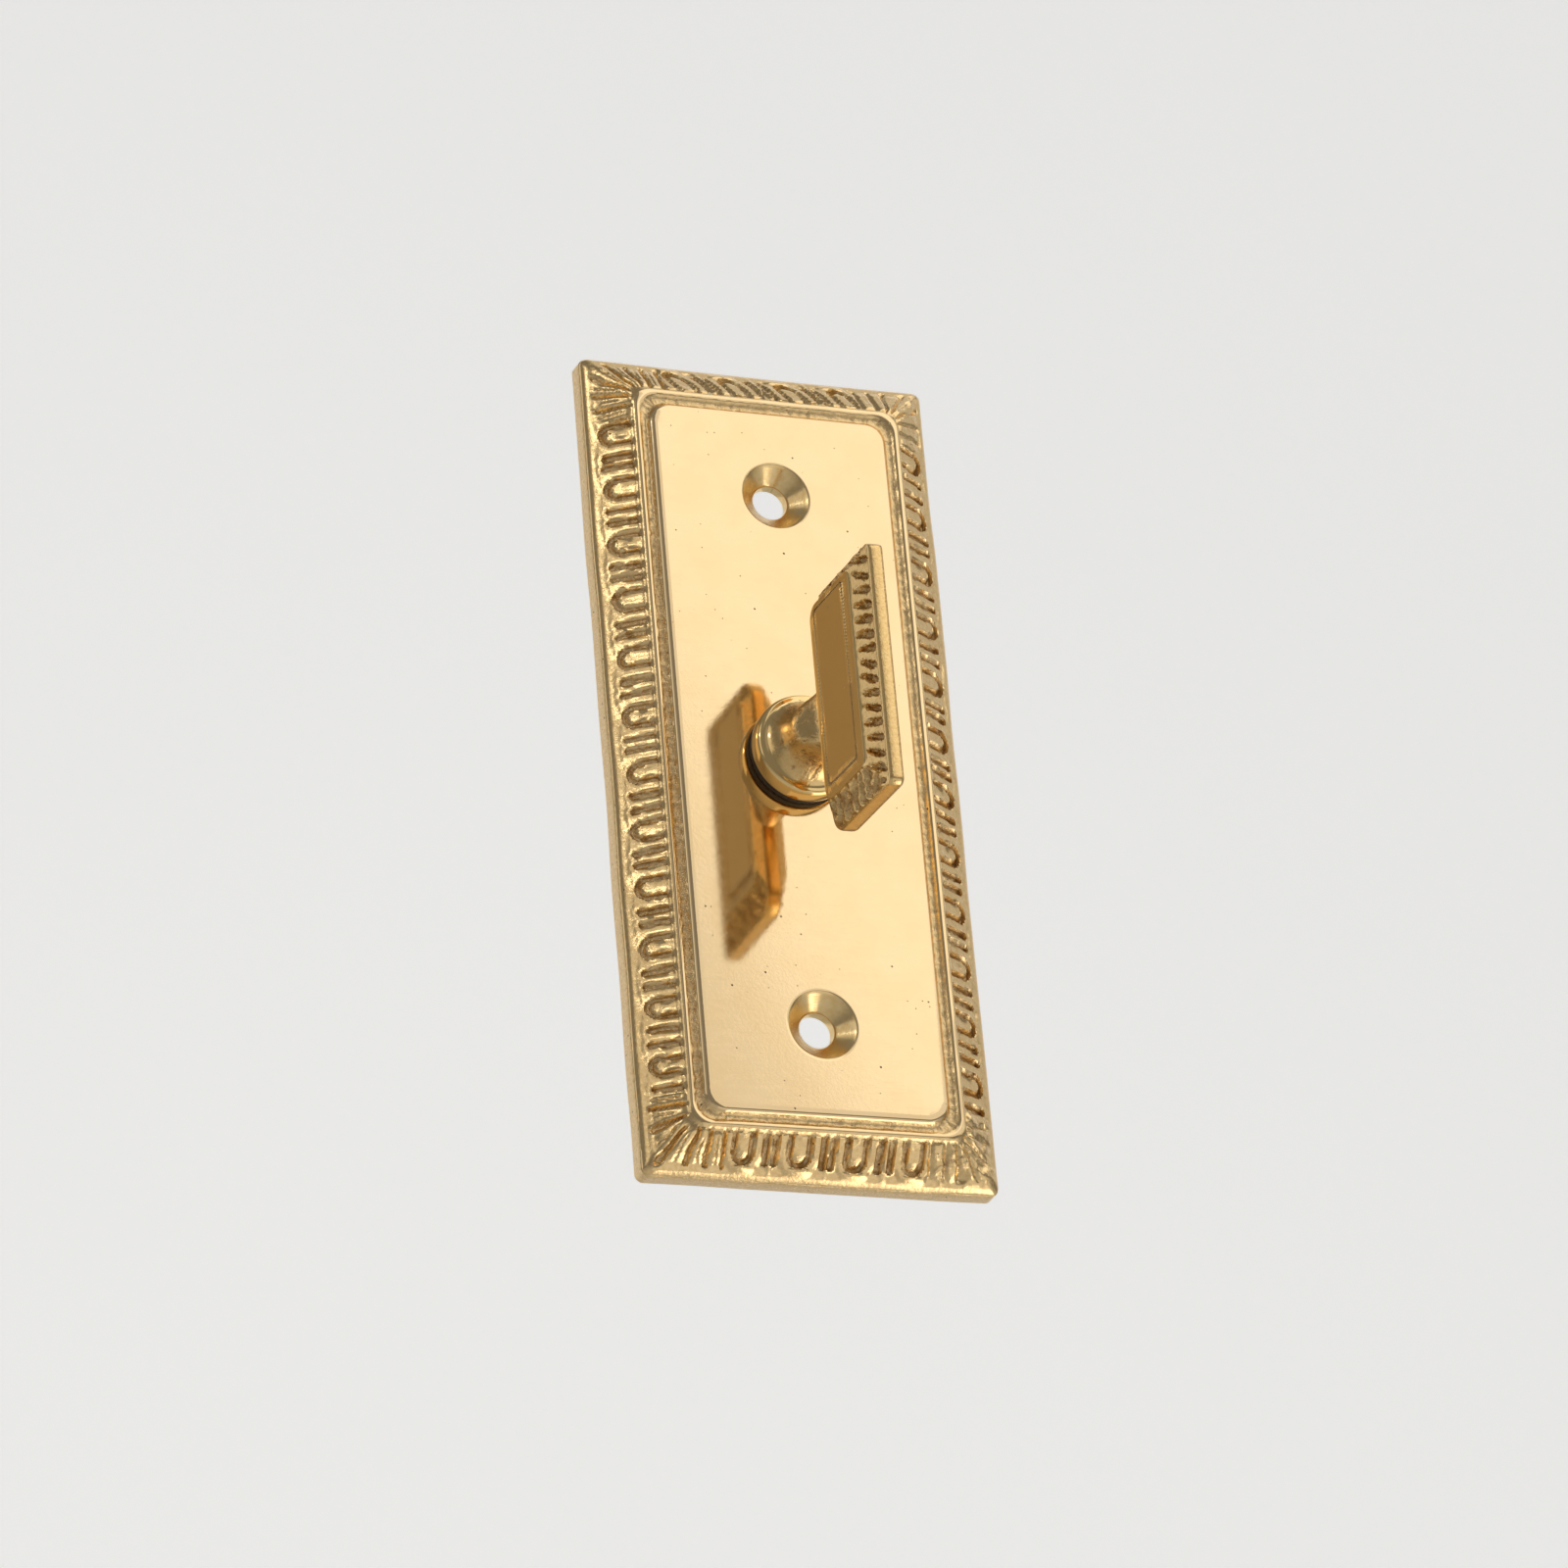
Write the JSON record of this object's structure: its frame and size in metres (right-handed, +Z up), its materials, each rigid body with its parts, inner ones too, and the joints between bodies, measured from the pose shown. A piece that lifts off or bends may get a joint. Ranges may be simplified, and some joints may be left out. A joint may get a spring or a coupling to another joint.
{
  "type": "door thumb turn",
  "caption": "Cast brass thumb turn on a rectangular back plate with an egg-and-dart border, with its washers, retaining ring and square spindle.",
  "frame": {"origin": "on the spindle axis, in the plane of the door face that the plate is screwed to", "axes": "+Z up along the plate's long side, -Y out of the door towards the hand, +Y along the spindle into the door"},
  "size_m": [0.0446, 0.0786, 0.1048],
  "materials": {
    "plate_brass": "polished panel, cast and lightly darkened border",
    "turn_brass": "polished cast brass with casting pits",
    "black_fibre": "matt black vulcanised fibre",
    "spring_steel": "tempered spring steel",
    "zinc_steel": "zinc plated",
    "black_steel": "black phosphate and oil",
    "spindle_steel": "drawn bar, zinc plated",
    "pin_steel": "spring steel, oiled"
  },
  "bodies": {
    "plate": {"backplate": "plate_brass", "friction_washer": "black_fibre", "wave_washer": "spring_steel"},
    "turn": {"thumb_turn": "turn_brass", "thrust_washer": "zinc_steel", "retaining_ring": "black_steel", "spindle_bar": "spindle_steel", "cross_pin": "pin_steel"}
  },
  "joints": [
    {"name": "turn_spin", "type": "hinge", "parent": "plate", "child": "turn", "pos_m": [0, 0, 0], "axis": [0, -1, 0], "continuous": true}
  ]
}
